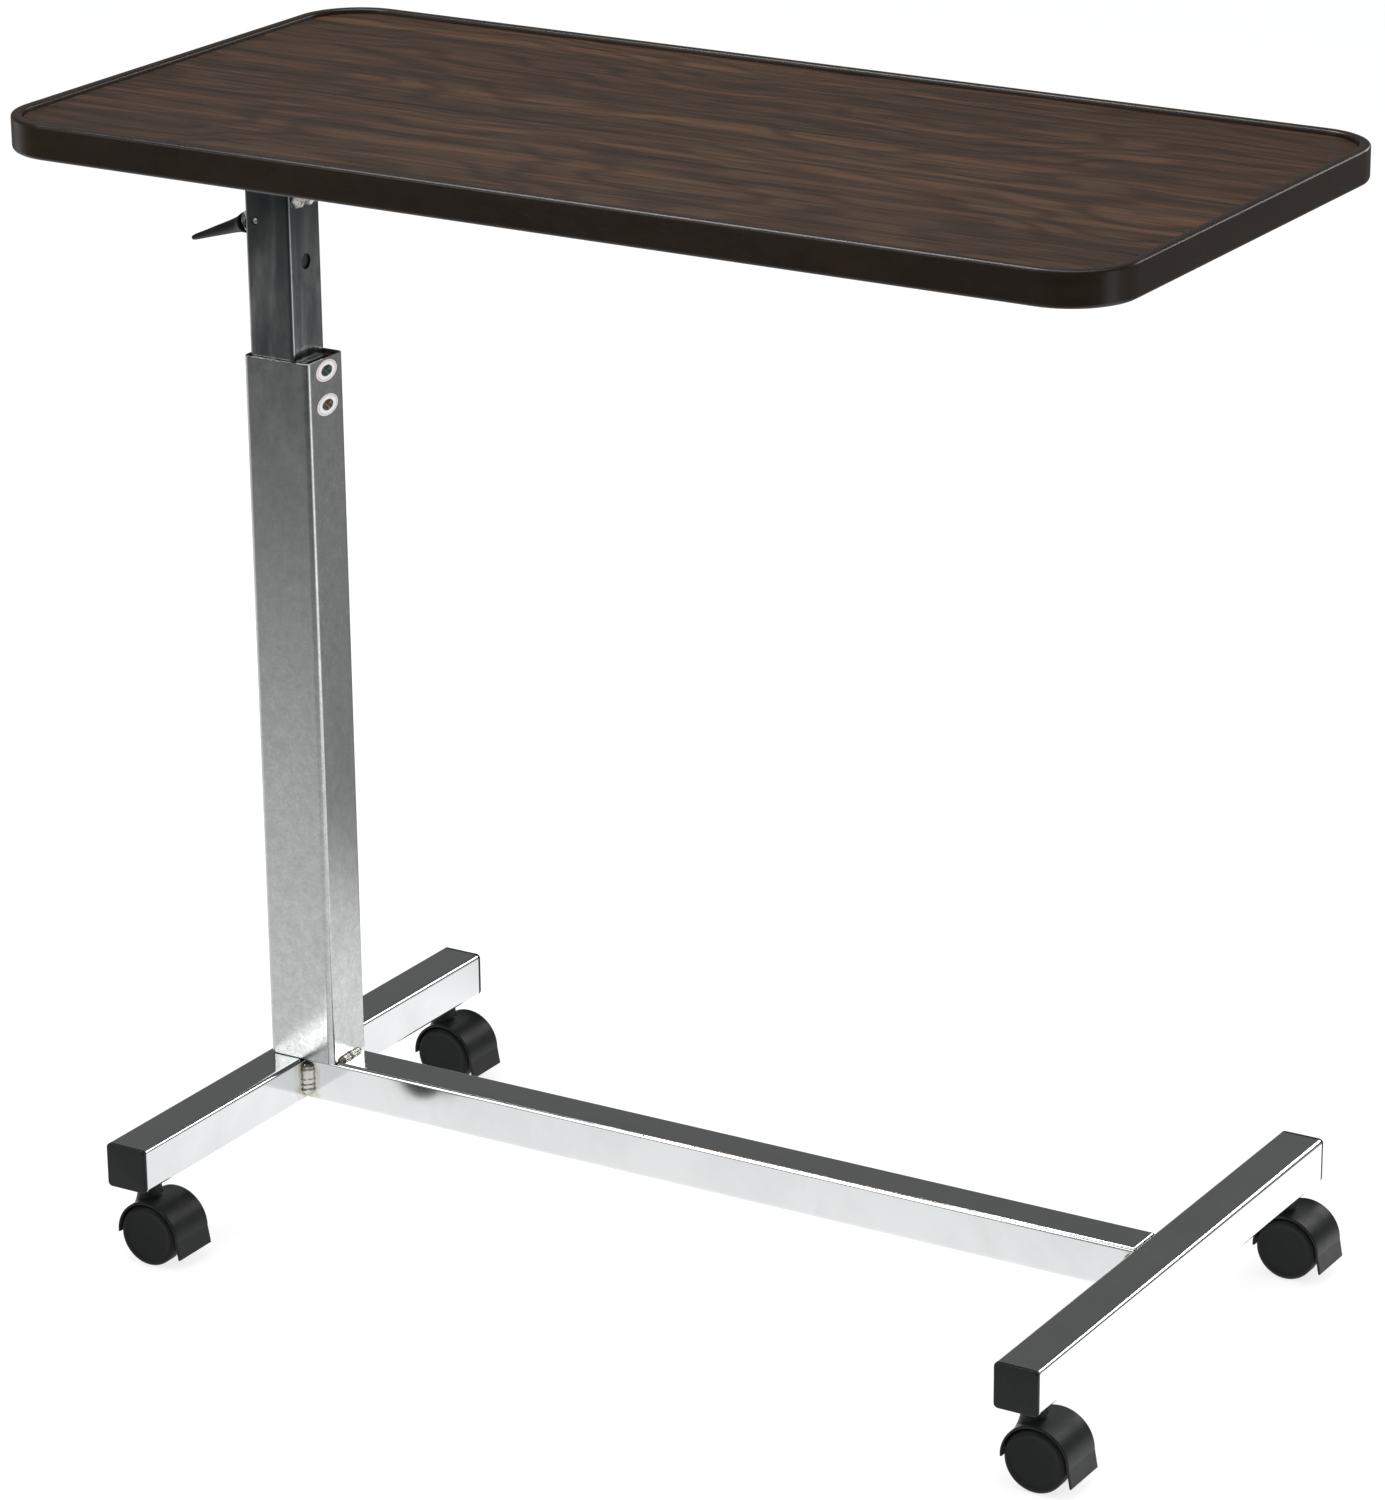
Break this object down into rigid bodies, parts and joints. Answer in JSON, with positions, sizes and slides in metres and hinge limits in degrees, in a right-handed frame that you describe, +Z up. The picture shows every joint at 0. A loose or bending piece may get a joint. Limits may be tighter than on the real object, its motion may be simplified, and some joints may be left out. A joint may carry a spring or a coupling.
{
  "type": "overbed table",
  "caption": "Overbed table with a walnut-pattern top, a telescopic column at one end with a release lever, and an H-shaped chromed base on swivelling twin-wheel casters.",
  "frame": {"origin": "on the floor, under the middle of the top", "axes": "+X along the spine from the column to the free end, +Y across the base to the rear, +Z up"},
  "size_m": [0.762, 0.394, 0.745],
  "materials": {
    "chromed_tube": "bright chrome plate on square steel tube",
    "galvanised_tube": "satin plated steel with a fine mottle",
    "polished_tube": "smooth drawn steel, slightly smudged",
    "weld_steel": "plated weld bead",
    "zinc_steel": "bright zinc plate",
    "black_plastic": "moulded plastic, soft sheen",
    "wheel_plastic": "moulded nylon, soft sheen",
    "grey_nylon": "moulded nylon guide",
    "painted_black": "black paint",
    "walnut_laminate": "dark walnut-pattern laminate, satin",
    "brown_vinyl": "dark brown vinyl, semi-gloss",
    "particle_board": "bare particle board",
    "label_film": "printed film"
  },
  "bodies": {
    "base": {"column_foot_tube": "chromed_tube", "column_front_end_cap": "black_plastic", "column_foot_weld_front": "weld_steel", "column_rear_end_cap": "black_plastic", "column_foot_weld_rear": "weld_steel", "far_foot_tube": "chromed_tube", "far_front_end_cap": "black_plastic", "far_foot_weld_front": "weld_steel", "far_rear_end_cap": "black_plastic", "far_foot_weld_rear": "weld_steel", "spine_tube": "chromed_tube", "column_front_caster_stem": "zinc_steel", "column_rear_caster_stem": "zinc_steel", "far_front_caster_stem": "zinc_steel", "far_rear_caster_stem": "zinc_steel", "outer_column": "galvanised_tube", "column_guide": "grey_nylon", "upper_label": "label_film", "lower_label": "label_film", "column_weld": "weld_steel", "gas_spring_cylinder": "painted_black", "gas_spring_gland": "zinc_steel"},
    "mast": {"mast_tube": "polished_tube", "mast_glide": "grey_nylon", "piston_rod_block": "grey_nylon", "gas_spring_piston_rod": "polished_tube", "support_beam": "chromed_tube", "beam_cap_column": "black_plastic", "beam_cap_far": "black_plastic", "mast_weld": "weld_steel", "column_cross_strap": "chromed_tube", "far_cross_strap": "chromed_tube", "column_front_screw": "zinc_steel", "column_rear_screw": "zinc_steel", "far_front_screw": "zinc_steel", "far_rear_screw": "zinc_steel", "top_board": "particle_board", "laminate_sheet": "walnut_laminate", "edge_moulding": "brown_vinyl"},
    "lever": {"lever_arm": "zinc_steel", "lever_grip": "black_plastic", "lever_washer": "zinc_steel", "lever_pin": "zinc_steel"},
    "release_pin": {"gas_spring_release_pin": "zinc_steel"},
    "column_front_caster": {"column_front_caster_hood": "black_plastic", "column_front_caster_axle": "zinc_steel"},
    "column_front_caster_wheel_front": {"column_front_caster_wheel_front": "wheel_plastic"},
    "column_front_caster_wheel_rear": {"column_front_caster_wheel_rear": "wheel_plastic"},
    "column_rear_caster": {"column_rear_caster_hood": "black_plastic", "column_rear_caster_axle": "zinc_steel"},
    "column_rear_caster_wheel_front": {"column_rear_caster_wheel_front": "wheel_plastic"},
    "column_rear_caster_wheel_rear": {"column_rear_caster_wheel_rear": "wheel_plastic"},
    "far_front_caster": {"far_front_caster_hood": "black_plastic", "far_front_caster_axle": "zinc_steel"},
    "far_front_caster_wheel_front": {"far_front_caster_wheel_front": "wheel_plastic"},
    "far_front_caster_wheel_rear": {"far_front_caster_wheel_rear": "wheel_plastic"},
    "far_rear_caster": {"far_rear_caster_hood": "black_plastic", "far_rear_caster_axle": "zinc_steel"},
    "far_rear_caster_wheel_front": {"far_rear_caster_wheel_front": "wheel_plastic"},
    "far_rear_caster_wheel_rear": {"far_rear_caster_wheel_rear": "wheel_plastic"}
  },
  "joints": [
    {"name": "height_slide", "type": "slide", "parent": "base", "child": "mast", "axis": [0, 0, 1], "range_m": [-0.034, 0.36]},
    {"name": "lever_pivot", "type": "hinge", "parent": "mast", "child": "lever", "pos_m": [-0.306, 0, 0.652], "axis": [0, 1, 0], "range_deg": [0, 12], "stiffness_Nm_per_rad": 0.5, "springref_deg": -20.05},
    {"name": "release_pin_slide", "type": "slide", "parent": "mast", "child": "release_pin", "axis": [0, 0, 1], "range_m": [-0.0022, 0]},
    {"name": "column_front_caster_swivel", "type": "hinge", "parent": "base", "child": "column_front_caster", "pos_m": [-0.307, -0.172, 0.054], "axis": [0, 0, 1], "continuous": true},
    {"name": "column_front_caster_roll_front", "type": "hinge", "parent": "column_front_caster", "child": "column_front_caster_wheel_front", "pos_m": [-0.298, -0.18375, 0.0205], "axis": [0, 1, 0], "continuous": true},
    {"name": "column_front_caster_roll_rear", "type": "hinge", "parent": "column_front_caster", "child": "column_front_caster_wheel_rear", "pos_m": [-0.298, -0.16025, 0.0205], "axis": [0, 1, 0], "continuous": true},
    {"name": "column_rear_caster_swivel", "type": "hinge", "parent": "base", "child": "column_rear_caster", "pos_m": [-0.307, 0.172, 0.054], "axis": [0, 0, 1], "continuous": true},
    {"name": "column_rear_caster_roll_front", "type": "hinge", "parent": "column_rear_caster", "child": "column_rear_caster_wheel_front", "pos_m": [-0.298, 0.16025, 0.0205], "axis": [0, 1, 0], "continuous": true},
    {"name": "column_rear_caster_roll_rear", "type": "hinge", "parent": "column_rear_caster", "child": "column_rear_caster_wheel_rear", "pos_m": [-0.298, 0.18375, 0.0205], "axis": [0, 1, 0], "continuous": true},
    {"name": "far_front_caster_swivel", "type": "hinge", "parent": "base", "child": "far_front_caster", "pos_m": [0.339, -0.172, 0.054], "axis": [0, 0, 1], "continuous": true},
    {"name": "far_front_caster_roll_front", "type": "hinge", "parent": "far_front_caster", "child": "far_front_caster_wheel_front", "pos_m": [0.348, -0.18375, 0.0205], "axis": [0, 1, 0], "continuous": true},
    {"name": "far_front_caster_roll_rear", "type": "hinge", "parent": "far_front_caster", "child": "far_front_caster_wheel_rear", "pos_m": [0.348, -0.16025, 0.0205], "axis": [0, 1, 0], "continuous": true},
    {"name": "far_rear_caster_swivel", "type": "hinge", "parent": "base", "child": "far_rear_caster", "pos_m": [0.339, 0.172, 0.054], "axis": [0, 0, 1], "continuous": true},
    {"name": "far_rear_caster_roll_front", "type": "hinge", "parent": "far_rear_caster", "child": "far_rear_caster_wheel_front", "pos_m": [0.348, 0.16025, 0.0205], "axis": [0, 1, 0], "continuous": true},
    {"name": "far_rear_caster_roll_rear", "type": "hinge", "parent": "far_rear_caster", "child": "far_rear_caster_wheel_rear", "pos_m": [0.348, 0.18375, 0.0205], "axis": [0, 1, 0], "continuous": true}
  ],
  "couplings": [
    {"joint": "release_pin_slide", "follows": "lever_pivot", "m_per_rad": -0.0095}
  ]
}
